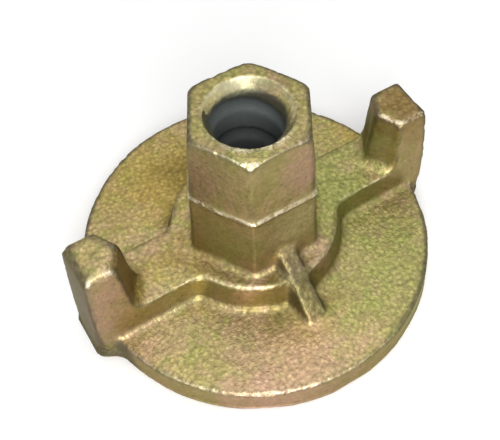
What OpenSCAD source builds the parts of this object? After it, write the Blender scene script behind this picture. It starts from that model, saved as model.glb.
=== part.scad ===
// Formwork wing nut: one ductile-iron casting that runs on a coarse-threaded tie rod and presses on a
// waler with its round flange. A tall hexagon boss takes a spanner, and two V-sided wing lugs on the rim
// take hammer blows. Millimetres, +Z up the bore, the wings along X, origin at the centre of the underside.

/* [Flange] */
// Diameter of the round flange
flange_d = 90; // [84:1:110]
// Thickness of the flange at its rim
flange_t = 8.2; // [6:0.2:10]
// Rounding of the upper rim edge
flange_edge_r = 1; // [0.4:0.2:2]
// Bevel of the lower rim edge
flange_foot_bevel = 0.6; // [0.3:0.1:1.5]

/* [Pad] */
// Height of the raised pad above the flange
pad_h = 7.9; // [5:0.1:11]
// Diameter of the pad's round middle at its top
pad_d = 42.2; // [38:0.2:48]
// Width of each arm at its top
arm_w = 14.8; // [12:0.2:18]
// How much wider each side of the pad is at its foot
pad_draft = 0.85; // [0.3:0.05:1.5]
// Radius of the hollow corner between the middle and an arm, at its foot
pad_corner_r = 4; // [2:0.5:6]

/* [Hexagon boss] */
// Height of the whole nut, from the underside to the mouth
nut_h = 56.2; // [52:0.2:66]
// Height of the parting step above the underside
step_z = 36.7; // [30:0.1:42]
// Width across flats where the boss leaves the pad
hex_foot_af = 30.8; // [29:0.1:33]
// Width across flats just under the parting step
hex_step_af = 29.3; // [28:0.1:31]
// How far the boss steps in above the parting line
step_in = 0.1; // [0.05:0.05:0.8]
// Width across flats at the mouth
hex_top_af = 26.7; // [25:0.1:29]
// Rounding of the lower boss's upright edges
hex_low_edge_r = 0.9; // [0.4:0.1:2]
// Rounding of the upper boss's upright edges
hex_high_edge_r = 1.9; // [0.6:0.1:2.5]
// Fillet between the boss and the pad
boss_foot_fillet = 1.2; // [0.4:0.1:2.5]
// How far the upper mould half stood off the lower one at the parting step
mould_shift = 0.6; // [0:0.05:1]
// How far it stood off at the mouth
mouth_shift = 0.15; // [0:0.05:1]
// Direction of that shift about the bore
mould_turn = -120; // [-180:5:180]
// How far the ridge of flash stands out at the parting step
flash_w = 0.4; // [0.1:0.05:0.8]
// Height of that ridge
flash_h = 1.2; // [0.6:0.1:2]
// Diameter of the flat face that the turned bevel leaves at the mouth
mouth_face_d = 27.6; // [26:0.1:29]
// Angle of that bevel below the flat face
bevel_angle = 30; // [20:1:40]

/* [Thread] */
// Diameter inside the thread's crests, which is the clear bore
crest_d = 15.8; // [15:0.1:16.2]
// Depth of the thread
thread_depth = 1; // [0.7:0.05:1.3]
// Climb of the right-hand thread in one turn
thread_pitch = 10; // [9:0.5:12]
// Width of the groove between two crests, at the crests
groove_w = 4.4; // [3.6:0.1:4.8]
// Width of the groove at its root
groove_root_w = 2.8; // [2:0.1:3.2]
// Turn of the thread about the bore
thread_turn = 95; // [-180:5:180]

/* [Mouth] */
// Diameter of the coned mouth at the top face
mouth_d = 20.4; // [19:0.1:21.5]
// Diameter at the bottom of the coned mouth
mouth_root_d = 16.9; // [16.4:0.1:17.6]
// Depth of the coned mouth
mouth_depth = 2.9; // [2:0.1:4]
// How far the thread's lead-in spreads past its root at the mouth
lead_flare = 1.3; // [0.6:0.1:1.6]
// Height over which the lead-in spreads
lead_h = 5; // [3:0.5:8]

/* [Wing lugs] */
// Height of the lugs above the underside
lug_h = 32.8; // [26:0.2:38]
// Distance from the bore axis to a lug's outer face, at its foot
lug_foot_reach = 49.3; // [47:0.1:60]
// The same distance at the top
lug_top_reach = 46.9; // [44:0.1:58]
// Distance from the bore axis to the inner ridge, at the pad
lug_ridge_foot_x = 33.6; // [31:0.1:36]
// The same distance at the top
lug_ridge_top_x = 35.4; // [33:0.1:38]
// Distance from the bore axis to the edges where the inner facets end, at the pad
lug_shoulder_foot_x = 38.2; // [37:0.1:41]
// The same distance at the top
lug_shoulder_top_x = 38.8; // [37:0.1:41]
// Width of a lug at its top
lug_top_w = 12.7; // [10:0.1:15]
// Rounding of a lug's upright edges
lug_edge_r = 0.9; // [0.4:0.1:1.5]
// Rounding of the two outer upright edges at the foot, which eases into the rest
lug_foot_edge_r = 4.2; // [1.5:0.1:5]
// Fillet between a lug's inner facets and the pad
lug_foot_fillet = 2.6; // [1:0.1:4]
// Rounding of a lug's top edges
lug_crown_r = 0.9; // [0.5:0.1:1.5]

/* [Gusset ribs] */
// Reach of each rib along the flange, from the bore axis
rib_reach = 29.6; // [26:0.2:34]
// Height of each rib above the underside, where it leaves the boss
rib_z = 21.6; // [19:0.2:26]
// Width of a rib along its upper edge
rib_top_w = 4.8; // [3:0.1:6]
// Width of a rib at its foot
rib_foot_w = 7; // [4:0.1:9]
// How far a rib's middle line drifts sideways on its way out
rib_drift = 1.4; // [0:0.1:2]

/* [Hidden] */

$fn = 96;
sink = 0.5;            // how far one form runs into the next, so that no two only touch
rib_root = 2;          // how far a rib runs into the boss
skin = 0.02;           // thickness of the slices that a hull joins
over = 1;              // how far a cut runs past the metal
bite = 0.05;           // how far two walls that would lie on each other are kept apart or cross
pad_z = flange_t + pad_h;
crest_r = crest_d / 2;
root_r = crest_r + thread_depth;
hex_share = cos(30);   // across flats over across corners
steps_per_turn = 24;
arc_steps = 5;
fillet_steps = 4;

function hex_corner_r(across_flats) = across_flats / 2 / hex_share;
function blend(a, b, share) = a + (b - a) * share;
function unit(v) = v / norm(v);

// ---- lofts ----

// A solid between rings of equally many points, which run anticlockwise about the way they are stacked.
module loft(rings) {
    corners = len(rings[0]);
    last = corners * (len(rings) - 1);
    polyhedron(
        points = [for (ring = rings) each ring],
        faces = [
            [for (j = [0 : corners - 1]) j],
            for (low = [0 : corners : last - 1], j = [0 : corners - 1])
                let (a = low + j, b = low + (j + 1) % corners)
                    each [[a, a + corners, b], [b, a + corners, b + corners]],
            [for (j = [corners - 1 : -1 : 0]) last + j]
        ]
    );
}

// Direction that faces out of an anticlockwise outline's side.
function side_angle(from, to) = atan2(from[0] - to[0], to[1] - from[1]);

// The point that lies one distance inside both sides of a corner.
function inside_corner(before, at, after, distance) =
    let (
        to_before = unit(before - at),
        to_after = unit(after - at),
        half_angle = acos(to_before * to_after) / 2
    )
    at + unit(to_before + to_after) * distance / sin(half_angle);

// A ring at one height, moved inwards by inset and with each corner rounded to its own radius.
function rounded_ring(outline, radii, z, inset = 0) = [
    for (i = [0 : len(outline) - 1])
        let (
            before = outline[(i + len(outline) - 1) % len(outline)],
            at = outline[i],
            after = outline[(i + 1) % len(outline)],
            centre = inside_corner(before, at, after, radii[i] + inset),
            first = side_angle(before, at),
            sweep = (side_angle(at, after) - first + 360) % 360
        )
        for (step = [0 : arc_steps])
            let (angle = first + sweep * step / arc_steps)
                [centre[0] + radii[i] * cos(angle), centre[1] + radii[i] * sin(angle), z]
];

// A quarter round's heights and how far it falls back there, from the wall to the crown.
function quarter_round(r) = [
    for (step = [0 : fillet_steps])
        let (angle = 90 * step / fillet_steps)
            [r * sin(angle), r * (1 - cos(angle))]
];

// ---- flange ----

module flange_section() {
    square([flange_d / 2 - flange_edge_r, flange_t]);
    translate([0, flange_foot_bevel])
        square([flange_d / 2, flange_t - flange_edge_r - flange_foot_bevel]);
    translate([flange_d / 2 - flange_edge_r, flange_t - flange_edge_r])
        circle(flange_edge_r);
    polygon([
        [flange_d / 2 - 2 * flange_foot_bevel, 0],
        [flange_d / 2 - flange_foot_bevel, 0],
        [flange_d / 2, flange_foot_bevel],
        [flange_d / 2, 2 * flange_foot_bevel],
        [flange_d / 2 - 2 * flange_foot_bevel, 2 * flange_foot_bevel]
    ]);
}

module flange() {
    rotate_extrude()
        flange_section();
}

// ---- pad: a round middle and two arms with drafted sides ----

module pad_middle() {
    translate([0, 0, flange_t])
        cylinder(h = pad_h, r1 = pad_d / 2 + pad_draft, r2 = pad_d / 2);
}

// The bar's section runs along X, between the two lugs.
module pad_arms() {
    bar_l = 2 * (max(lug_shoulder_foot_x, lug_shoulder_top_x) + sink);
    translate([-bar_l / 2, 0, flange_t])
        rotate([90, 0, 90])
            linear_extrude(bar_l)
                polygon([
                    [-arm_w / 2 - pad_draft, 0],
                    [arm_w / 2 + pad_draft, 0],
                    [arm_w / 2, pad_h],
                    [-arm_w / 2, pad_h]
                ]);
}

// One hollow corner. Both walls lean alike, so the hollow is a cone about one upright axis.
module pad_corner() {
    axis_y = arm_w / 2 + pad_draft + pad_corner_r;
    axis_x = sqrt(pow(pad_d / 2 + pad_draft + pad_corner_r, 2) - pow(axis_y, 2));
    translate([0, 0, flange_t])
        difference() {
            linear_extrude(pad_h)
                polygon([[0, 0], [axis_x, 0], [axis_x, axis_y]]);
            translate([axis_x, axis_y, 0])
                cylinder(h = pad_h, r1 = pad_corner_r + bite, r2 = pad_corner_r + bite + pad_draft);
        }
}

module pad() {
    pad_middle();
    pad_arms();
    for (side_x = [0, 1], side_y = [0, 1])
        mirror([side_x, 0, 0])
            mirror([0, side_y, 0])
                pad_corner();
}

// ---- hexagon boss ----

// A hexagon's ring with one corner on +X.
function hex_ring(across_flats, edge_r, z) =
    rounded_ring(
        [for (turn = [0 : 60 : 300]) hex_corner_r(across_flats) * [cos(turn), sin(turn)]],
        [for (turn = [0 : 60 : 300]) edge_r],
        z
    );

// A ring moved sideways in the direction of the mould's shift.
function shifted(ring, distance) =
    [for (p = ring) p + distance * [cos(mould_turn), sin(mould_turn), 0]];

// Lower half: a fillet out of the pad, the drafted wall and half of the flash.
module lower_boss() {
    loft([
        hex_ring(hex_foot_af + 2 * boss_foot_fillet, hex_low_edge_r + boss_foot_fillet, pad_z - sink),
        for (p = quarter_round(boss_foot_fillet))
            let (
                out = boss_foot_fillet - p[0],
                z = pad_z + p[1],
                af = blend(hex_foot_af, hex_step_af, (z - pad_z) / (step_z - pad_z))
            )
                hex_ring(af + 2 * out, hex_low_edge_r + out, z),
        hex_ring(hex_step_af, hex_low_edge_r, step_z - flash_h / 2),
        hex_ring(hex_step_af + 2 * flash_w, hex_low_edge_r + flash_w, step_z)
    ]);
}

// Upper half, as its mould half left it: the other half of the flash and the drafted wall.
module upper_boss() {
    above_af = hex_step_af - 2 * step_in;
    loft([
        shifted(hex_ring(above_af, hex_high_edge_r, step_z - sink), mould_shift),
        shifted(hex_ring(above_af + 2 * flash_w, hex_high_edge_r + flash_w, step_z), mould_shift),
        shifted(hex_ring(above_af, hex_high_edge_r, step_z + flash_h / 2), mould_shift),
        shifted(hex_ring(hex_top_af, hex_high_edge_r, nut_h), mouth_shift)
    ]);
}

// The cone that the mouth's bevel is turned to. It is wide enough to leave the rest of the boss alone.
module bevel_envelope() {
    cone_h = nut_h - pad_z;
    cylinder(h = nut_h - cone_h + sink, r = mouth_face_d / 2 + cone_h / tan(bevel_angle));
    translate([0, 0, nut_h - cone_h])
        cylinder(h = cone_h, r1 = mouth_face_d / 2 + cone_h / tan(bevel_angle), r2 = mouth_face_d / 2);
}

module boss() {
    lower_boss();
    intersection() {
        upper_boss();
        bevel_envelope();
    }
}

// ---- wing lugs ----

// Half the width of a lug at a height. Up to the pad's top its sides run on from the arm's.
function lug_half(z) =
    z > pad_z
        ? blend(arm_w, lug_top_w, (z - pad_z) / (lug_h - pad_z)) / 2
        : arm_w / 2 + pad_draft * min((pad_z - z) / pad_h, 1);

// Plan of a lug on the +X side at a height: a flat outer side and two inner facets that meet in a ridge.
// The facets stand out by flare where the fillet runs into the pad.
function lug_ring(z, flare, inset = 0) =
    let (
        above = max(z - pad_z, 0) / (lug_h - pad_z),
        reach = blend(lug_foot_reach, lug_top_reach, z / lug_h),
        half = lug_half(z) - bite,
        shoulder_x = blend(lug_shoulder_foot_x, lug_shoulder_top_x, above) - flare,
        ridge_x = blend(lug_ridge_foot_x, lug_ridge_top_x, above) - flare,
        outer_r = blend(lug_foot_edge_r, lug_edge_r, min(z / pad_z, 1))
    )
    rounded_ring(
        [[reach, -half], [reach, half], [shoulder_x, half], [ridge_x, 0], [shoulder_x, -half]],
        [outer_r, outer_r, lug_edge_r, lug_edge_r, lug_edge_r],
        z,
        inset
    );

module wing_lug() {
    loft([
        lug_ring(0, lug_foot_fillet),
        lug_ring(flange_t, lug_foot_fillet),
        for (p = quarter_round(lug_foot_fillet))
            lug_ring(pad_z + p[1], lug_foot_fillet - p[0]),
        for (p = quarter_round(lug_crown_r))
            lug_ring(lug_h - lug_crown_r + p[0], 0, p[1])
    ]);
}

// ---- gusset ribs ----

// Each rib is rooted in the boss, and its foot lies off the middle on one side and its top on the other.
module gusset_rib() {
    inner_y = hex_step_af / 2 - rib_root;
    hull() {
        translate([-(rib_foot_w + rib_drift) / 2, inner_y, flange_t - sink])
            cube([rib_foot_w, rib_reach + sink - inner_y, skin]);
        translate([-(rib_top_w - rib_drift) / 2, inner_y, rib_z])
            cube([rib_top_w, hex_foot_af / 2 - inner_y, skin]);
    }
}

// ---- thread ----

// Root radius of the groove at a height: it spreads over the last stretch below the mouth.
function groove_root_at(z) =
    root_r + lead_flare * pow(min(max((z - nut_h + lead_h) / lead_h, 0), 1), 2);

// One ring of the groove's cutter, standing across the helix at an angle.
function groove_ring(angle) =
    let (
        mid_z = thread_pitch * (angle - thread_turn) / 360,
        inner_r = crest_r - over,
        lean = (groove_w - groove_root_w) / 2 / thread_depth,
        inner_half = groove_w / 2 + lean * over,
        r_out = groove_root_at(mid_z),
        ring = [
            [inner_r, -inner_half],
            [inner_r, inner_half],
            [r_out, groove_root_w / 2],
            [r_out, -groove_root_w / 2]
        ]
    )
    [for (p = ring) [p[0] * cos(angle), p[0] * sin(angle), mid_z + p[1]]];

module thread_cutter() {
    run_out = groove_w / 2 + over;
    first = floor((thread_turn / 360 - run_out / thread_pitch) * steps_per_turn);
    last = ceil((thread_turn / 360 + (nut_h + run_out) / thread_pitch) * steps_per_turn);
    loft([for (i = [first : last]) groove_ring(360 * i / steps_per_turn)]);
}

module bore() {
    translate([0, 0, -over])
        cylinder(h = nut_h + 2 * over, r = crest_r);
    mouth_lean = (mouth_d - mouth_root_d) / 2 / mouth_depth;
    translate([0, 0, nut_h - mouth_depth])
        cylinder(h = mouth_depth + over, d1 = mouth_root_d, d2 = mouth_d + 2 * mouth_lean * over);
    thread_cutter();
}

module wing_nut() {
    color([0.62, 0.55, 0.33])
        difference() {
            union() {
                flange();
                pad();
                boss();
                for (turn = [0, 180])
                    rotate([0, 0, turn]) {
                        wing_lug();
                        gusset_rib();
                    }
            }
            bore();
        }
}

wing_nut();
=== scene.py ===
"""Formwork wing nut: the sand-cast body with its thread, its yellow-passivated finish and a plain studio.

The casting is built as closed shells, each a surface of two parameters worked out with numpy in
millimetres. The shells are fused into one skin, the skin's inner corners are rounded as a foundry rounds
them, and the sand's grain is pressed into it. The bore runs along Z and the two wing lugs stand along X.
"""

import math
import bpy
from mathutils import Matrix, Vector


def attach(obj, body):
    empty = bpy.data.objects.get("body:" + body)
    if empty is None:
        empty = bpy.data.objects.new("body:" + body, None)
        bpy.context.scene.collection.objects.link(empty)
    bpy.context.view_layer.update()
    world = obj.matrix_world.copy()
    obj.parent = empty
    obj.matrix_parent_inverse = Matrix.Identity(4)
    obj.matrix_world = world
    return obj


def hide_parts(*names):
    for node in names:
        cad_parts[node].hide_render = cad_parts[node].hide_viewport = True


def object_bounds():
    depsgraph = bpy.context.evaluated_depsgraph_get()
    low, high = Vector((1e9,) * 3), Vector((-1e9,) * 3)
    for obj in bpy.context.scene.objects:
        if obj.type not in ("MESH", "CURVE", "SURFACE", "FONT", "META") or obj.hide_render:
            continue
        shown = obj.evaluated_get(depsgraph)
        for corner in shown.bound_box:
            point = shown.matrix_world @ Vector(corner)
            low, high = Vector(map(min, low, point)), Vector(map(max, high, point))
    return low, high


bl_info = {
    "name": "Formwork wing nut",
    "version": (1, 0, 0),
    "blender": (4, 5, 0),
    "location": "View3D > Sidebar > Wing nut",
    "description": "Builds a cast formwork wing nut and a studio to show it in",
    "category": "Add Mesh",
}

import bpy
import numpy as np
from bpy.props import FloatProperty, FloatVectorProperty, IntProperty, PointerProperty
from mathutils import Matrix, Vector

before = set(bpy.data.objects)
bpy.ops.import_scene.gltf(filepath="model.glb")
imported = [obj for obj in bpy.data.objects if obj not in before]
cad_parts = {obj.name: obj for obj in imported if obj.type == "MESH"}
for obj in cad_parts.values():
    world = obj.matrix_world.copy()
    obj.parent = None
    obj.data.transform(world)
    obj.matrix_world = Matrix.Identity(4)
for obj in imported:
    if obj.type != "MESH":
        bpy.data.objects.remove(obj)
CAD_LOW, CAD_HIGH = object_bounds()

MM = 0.001
NODE = "wing_nut"
BODY = "root"

# The side of the nut that faces the camera and the lamps, in plan, and the direction that the key lamp's
# light comes from, towards which edges get a painted highlight.
LIT_SIDE = (-0.48, -0.88)
GLINT_LAMP_FROM = (-0.3, -0.58, 0.76)


# ---- sizes and colours that a user would change ----


def length(name, description, millimetres):
    """A length property, given in millimetres and kept in metres."""
    return FloatProperty(
        name=name,
        description=description,
        default=millimetres * MM,
        min=0.0,
        unit="LENGTH",
        precision=5,
    )


def colour(name, description, red, green, blue):
    """A colour property, given as the 0 to 255 values of a swatch and kept linear."""
    swatch = np.array([red, green, blue]) / 255
    return FloatVectorProperty(
        name=name,
        description=description,
        default=tuple(float(c) for c in swatch**2.2),
        subtype="COLOR",
        min=0.0,
        max=1.0,
    )


def share(name, description, default):
    """A plain number from 0 to 1."""
    return FloatProperty(
        name=name, description=description, default=default, min=0.0, max=1.0, subtype="FACTOR"
    )


def angle(name, description, degrees):
    """An angle property, given in degrees."""
    return FloatProperty(
        name=name, description=description, default=math.radians(degrees), subtype="ANGLE"
    )


class WingNutSizes(bpy.types.PropertyGroup):
    """Sizes of the casting."""

    flange_t: length("Flange thickness", "Thickness of the round flange at its rim", 8.2)
    flange_edge: length("Rim rounding", "Rounding of the rim's upper edge", 1.1)
    flange_bevel: length("Rim bevel", "Bevel of the rim's lower edge", 0.6)
    pad_h: length("Pad height", "Height of the raised pad above the flange", 7.9)
    pad_r: length("Pad radius", "Radius of the pad's round middle at its top", 21.1)
    arm_half: length("Arm half width", "Half the width of the pad's +X arm at its top", 7.6)
    wide_arm_half: length("Wide arm half width", "Half the width of the pad's -X arm at its top", 8.2)
    pad_draft: length("Pad draft", "How much further out the pad's round wall stands at its foot", 1.5)
    arm_draft: length("Arm draft", "How much further out each arm's wall stands at its foot", 0.4)
    pad_hollow: length("Pad hollow corner", "Radius of the hollow corner between middle and arm", 4.0)
    pad_edge: length("Pad edge rounding", "Rounding of the pad's top edge", 0.7)
    step_z: length("Parting height", "Height of the parting line above the underside", 36.7)
    hex_foot: length("Boss foot", "Width across flats where the boss leaves the pad", 30.8)
    hex_step: length("Boss at parting", "Width across flats just under the parting line", 29.3)
    hex_above: length("Boss above parting", "Width across flats just above the parting line", 29.1)
    hex_top: length("Boss top", "Width across flats at the mouth", 27.0)
    hex_low_edge: length("Lower edge rounding", "Rounding of the lower boss's upright edges", 0.9)
    hex_high_edge: length("Upper edge rounding", "Rounding of the upper boss's upright edges", 1.9)
    hex_rim: length("Mouth rim rounding", "Rounding of the edge between top face and boss walls", 0.7)
    mouth_face_r: length("Mouth face radius", "Radius of the flat ring that the bevel leaves", 13.7)
    bevel_angle: angle("Bevel angle", "Angle of the turned bevel below the flat ring", 32)
    mould_shift: length("Mould shift", "How far the upper mould half stood off at the parting line", 0.6)
    mouth_shift: length("Mouth shift", "How far it stood off at the mouth", 0.15)
    mould_turn: angle("Mould shift direction", "Direction in plan of that shift", -120)
    flash: length("Flash", "How far the ridge of flash stands out at the parting line", 0.7)
    flash_h: length("Flash height", "Height of that ridge", 1.9)
    crest_r: length("Crest radius", "Radius inside the thread's crests", 7.9)
    thread_depth: length("Thread depth", "Depth of the groove", 1.0)
    pitch: length("Pitch", "Climb of the thread in one turn", 10.0)
    groove_w: length("Groove width", "Width of the groove between two crests", 4.4)
    groove_top: length("Groove upper flank", "Height of the groove's steep upper flank", 0.7)
    groove_foot: length("Groove foot", "How far the easy lower flank starts below the groove's width", 0.5)
    groove_rise: length("Groove lower flank", "Height of the easy lower flank within that width", 1.6)
    thread_turn: angle("Thread turn", "Turn of the thread about the bore", 95)
    mouth_r: length("Mouth radius", "Radius of the coned mouth at the top face", 10.2)
    mouth_root_r: length("Cone root radius", "Radius at the bottom of the coned mouth", 8.45)
    mouth_depth: length("Cone depth", "Depth of the coned mouth", 2.9)
    lead_flare: length("Lead-in flare", "How far the groove spreads at the mouth", 1.3)
    start_z: length("Thread start", "Height where the groove's last turn opens bluntly to the mouth", 51.4)
    bare_z: length("Bare from", "Height below which the whole bore is bare", 48.5)
    mouth_pinch: length("Mouth pinch", "How much tighter the cone is where the thread runs out", 0.7)
    pinch_turn: angle("Pinch turn", "Where the cone is tightest", 0)
    lead_h: length("Lead-in height", "Height over which the groove spreads", 5.0)
    lug_h: length("Lug height", "Height of the lugs above the underside", 33.0)
    lug_top_reach: length("Lug top reach", "From the bore axis to a lug's outer face at the top", 46.9)
    lug_ridge_foot: length("Ridge foot", "Distance from the bore axis to the inner ridge at the pad", 33.6)
    lug_ridge_top: length("Ridge top", "Distance from the bore axis to the inner ridge at the top", 35.4)
    lug_shoulder: length("Lug shoulder", "Distance from the bore axis to the inner facets' ends", 38.2)
    lug_shoulder_top: length("Lug shoulder top", "The same distance at the top", 38.8)
    lug_lean: length("Lug lean", "How much nearer the boss the -X lug's inner ridge stands", 0.5)
    lug_top_half: length("Lug top half width", "Half the width of a lug at its top", 6.35)
    lug_fillet: length("Lug foot fillet", "Fillet between a lug's inner facets and the pad", 2.6)
    lug_edge: length("Lug edge rounding", "Rounding of a lug's upright edges", 0.9)
    lug_foot_edge: length("Lug foot rounding", "Rounding of a lug's outer upright edges at the foot", 4.2)
    lug_foot_h: length("Lug foot height", "Height at which that rounding has become the common one", 18.0)
    lug_ridge_edge: length("Lug ridge rounding", "Rounding of the ridge between a lug's inner facets", 1.62)
    lug_crown: length("Lug crown rounding", "Rounding of the +X lug's top edges", 1.4)
    worn_crown: length("Worn crown rounding", "Rounding of the -X lug's hammered top edges", 2.2)
    lug_outer_crown: length("Outer crown rounding", "The +X lug's rounding towards its outer face", 0.7)
    worn_outer_crown: length("Worn outer crown", "The -X lug's rounding towards its outer face", 3.08)
    rib_reach: length("Rib reach", "Reach of each rib along the flange, from the bore axis", 29.6)
    rib_z: length("Rib height", "Height of each rib where it leaves the boss", 21.6)
    rib_end_h: length("Rib end height", "Height above the flange at which a rib stops bluntly", 0.9)
    rib_top_half: length("Rib top half width", "Half the width of a rib's upper edge at the boss", 2.3)
    rib_end_half: length("Rib end half width", "Half the width of a rib's upper edge at its end", 2.8)
    rib_foot_out: length("Rib foot", "How much further out a rib's wall stands at its foot", 1.6)
    rib_edge: length("Rib edge rounding", "Rounding of a rib's upper edges", 1.1)
    rib_drift: length("Rib drift", "How far a rib's middle line drifts sideways over its length", 0.4)
    overlap: length("Overlap", "How far the shells run into each other before they are fused", 2.5)
    cell: length("Skin cell", "Side of the cells in which the skin is fused", 0.56)
    grain_depth: length("Grain depth", "Depth of the sand's grain on upward faces", 0.12)
    grain_size: length("Grain size", "Size of the sand's grain", 1.1)
    wall_grain: share("Wall grain", "Depth of the grain on drafted walls, as a share", 0.4)
    sag_depth: length("Sag depth", "Depth of the broad unevenness of the cast faces", 0.3)
    sag_size: length("Sag size", "Size of that unevenness", 7.0)
    nick_depth: length("Nick depth", "Depth of the nicks in the cast edges", 0.45)
    nick_size: length("Nick size", "Size of the nicks", 1.6)
    crease_rounds: IntProperty(
        name="Corner rounds", description="How often the inner corners are relaxed", default=16, min=0
    )


class WingNutFinish(bpy.types.PropertyGroup):
    """Colours of the yellow passivated zinc, of what shows through it, and of painted highlights and shade.
    """

    gold: colour("Gold", "Main tone of the passivated zinc", 158, 143, 97)
    green: colour("Green", "Greenish bloom in the film", 136, 140, 80)
    pink: colour("Pink", "Pinkish bloom in the film", 174, 142, 120)
    ochre: colour("Ochre", "Deep yellow bloom in the film", 156, 134, 68)
    # Painted light: lightens walls that lie in shade.
    pale: colour("Pale", "Paler bloom on the walls", 196, 186, 146)
    rose: colour("Rose", "Duller pink bloom on the walls", 160, 130, 108)
    rust: colour("Rust", "Brown bloom in the film", 136, 110, 70)
    # Darker, browner walls: partly a browner film, partly painted shade.
    wall: colour("Wall", "Browner film on the drafted walls", 150, 130, 94)
    streak: colour("Streak", "Olive streaks down the walls", 136, 126, 78)
    # Bright edges: partly rubbed bare zinc, partly a painted highlight where they face the lamps.
    wear_and_glint: colour("Worn", "Bare bright zinc on struck edges", 228, 218, 194)
    # Painted shade: dark colour for edges facing away from the lamps, the ribs, the lugs' outer faces and
    # some blooms.
    painted_shade: colour("Tarnish", "Dull dark film on the other edges", 84, 82, 70)
    # Bright turned zinc on the mouth's cone, partly a painted highlight.
    turned: colour("Turned", "Bright zinc on the turned mouth", 226, 220, 186)
    # Dark colour of the walls' pits, and painted shade in the inner corners and in some blooms.
    pits_and_shade: colour("Grime", "What settles in the hollow corners", 104, 92, 54)
    bore: colour("Bore", "Blue-grey zinc in the thread", 111, 117, 116)
    green_size: length("Green patches", "Size of the greenish patches", 4.5)
    pink_size: length("Pink patches", "Size of the pinkish patches", 3.5)
    streak_size: length("Streaks", "Width of the streaks down the walls", 3.0)
    patch_size: length("Rubbed stretches", "Length of the stretches that an edge is rubbed in", 6.0)
    speck_size: length("Specks", "Size of the lighter and darker specks and of the walls' pits", 1.0)
    crystal_size: length("Round grains", "Size of the round grains that the sand left", 1.2)
    coarse_size: length("Coarse bump", "Size of the coarser bumps", 0.9)
    fine_size: length("Fine bump", "Size of the finer bumps", 0.45)
    green_share: share("Green strength", "Strength of the greenish patches", 0.6)
    pink_share: share("Pink strength", "Strength of the pinkish patches", 0.5)
    # Strength of the walls' darker colour, partly painted shade.
    wall_share: share("Wall strength", "Strength of the browner film on upright walls", 0.75)
    pit_share: share("Pit strength", "Strength of the dark pits in the walls", 0.5)
    # Strength of the painted shade in the inner corners.
    grime_share: share("Grime strength", "Strength of the grime in hollow corners", 0.45)
    # Strength of the painted shade on edges.
    tarnish_share: share("Tarnish strength", "Strength of the dull film on edges", 0.7)
    # Strength of the turned mouth's bright colour, partly a painted highlight, and its smoothness.
    turned_share: share("Turned strength", "Brightness and smoothness of the turned mouth", 0.6)
    # Strength of the bright edges, partly wear and partly a painted highlight.
    worn_share: share("Worn strength", "Strength of the bright rubbed edges", 0.75)
    metallic: share("Metallic", "How metallic the film is", 0.9)
    roughness: share("Roughness", "Roughness of the film", 0.42)
    grain: length("Fine grain", "Depth of the finest grain", 0.18)


class WingNutStage(bpy.types.PropertyGroup):
    """Where the camera stands."""

    lens: FloatProperty(name="Lens", description="Focal length", default=61.4, unit="CAMERA")
    azimuth: angle("Azimuth", "Turn of the camera about Z", -28.4)
    elevation: angle("Elevation", "Height of the camera's line", 55.99)
    roll: angle("Roll", "Turn of the camera about its own line", -3.04)
    distance: length("Distance", "From the camera to the point it looks at", 209.8)
    target: FloatVectorProperty(
        name="Target",
        description="The point that the camera looks at",
        default=(-2.72 * MM, -2.92 * MM, 20.0 * MM),
        subtype="TRANSLATION",
        unit="LENGTH",
    )


def millimetres(group):
    """The group's lengths in millimetres, and its other numbers as they are, as one dictionary."""
    found = {}
    for name, value in group.bl_rna.properties.items():
        if value.type in {"FLOAT", "INT"} and not value.is_array:
            scale = 1 / MM if value.unit == "LENGTH" else 1
            found[name] = getattr(group, name) * scale
    return found


# ---- small numpy helpers ----


def ease(low, high, value):
    """0 up to low, 1 from high, and a smooth S between them: 3t^2 - 2t^3."""
    t = np.clip((value - low) / (high - low), 0, 1)
    return t * t * (3 - 2 * t)


def blend(start, end, t):
    """Straight line from start, at t = 0, to end, at t = 1."""
    return start + (end - start) * t


def quarter_round(radius, depth):
    """How far a rounded edge has fallen back at a depth below the edge's own start: r - sqrt(r^2 - d^2)."""
    d = np.clip(depth, 0, radius)
    return radius - np.sqrt(radius**2 - d**2)


def length_of(vectors):
    """Lengths of the vectors along the last axis, kept as a column."""
    return np.linalg.norm(vectors, axis=-1, keepdims=True)


def shell_of_rings(rings, joined=False):
    """Closed shell over rings of points, an array (rings, points round, 3). The last ring joins the first
    one where joined is true, and otherwise each end is closed by a fan about its middle."""
    n_rings, n_round = rings.shape[:2]
    points = rings.reshape(-1, 3)
    last = n_rings if joined else n_rings - 1
    i, j = np.meshgrid(np.arange(last), np.arange(n_round), indexing="ij")
    a = i * n_round + j
    b = i * n_round + (j + 1) % n_round
    step = n_round
    c = (b + step) % len(points)
    d = (a + step) % len(points)
    halves = [np.stack(corners, -1).reshape(-1, 3) for corners in ((a, b, c), (a, c, d))]
    faces = np.concatenate(halves)
    if not joined:
        ends = np.array([rings[0].mean(0), rings[-1].mean(0)])
        k = np.arange(n_round)
        following = (k + 1) % n_round
        top = (n_rings - 1) * n_round
        low_fan = np.stack([following, k, np.full(n_round, len(points))], -1)
        high_fan = np.stack([k + top, following + top, np.full(n_round, len(points) + 1)], -1)
        points = np.concatenate([points, ends])
        faces = np.concatenate([faces, low_fan, high_fan])
    return points, faces


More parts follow.
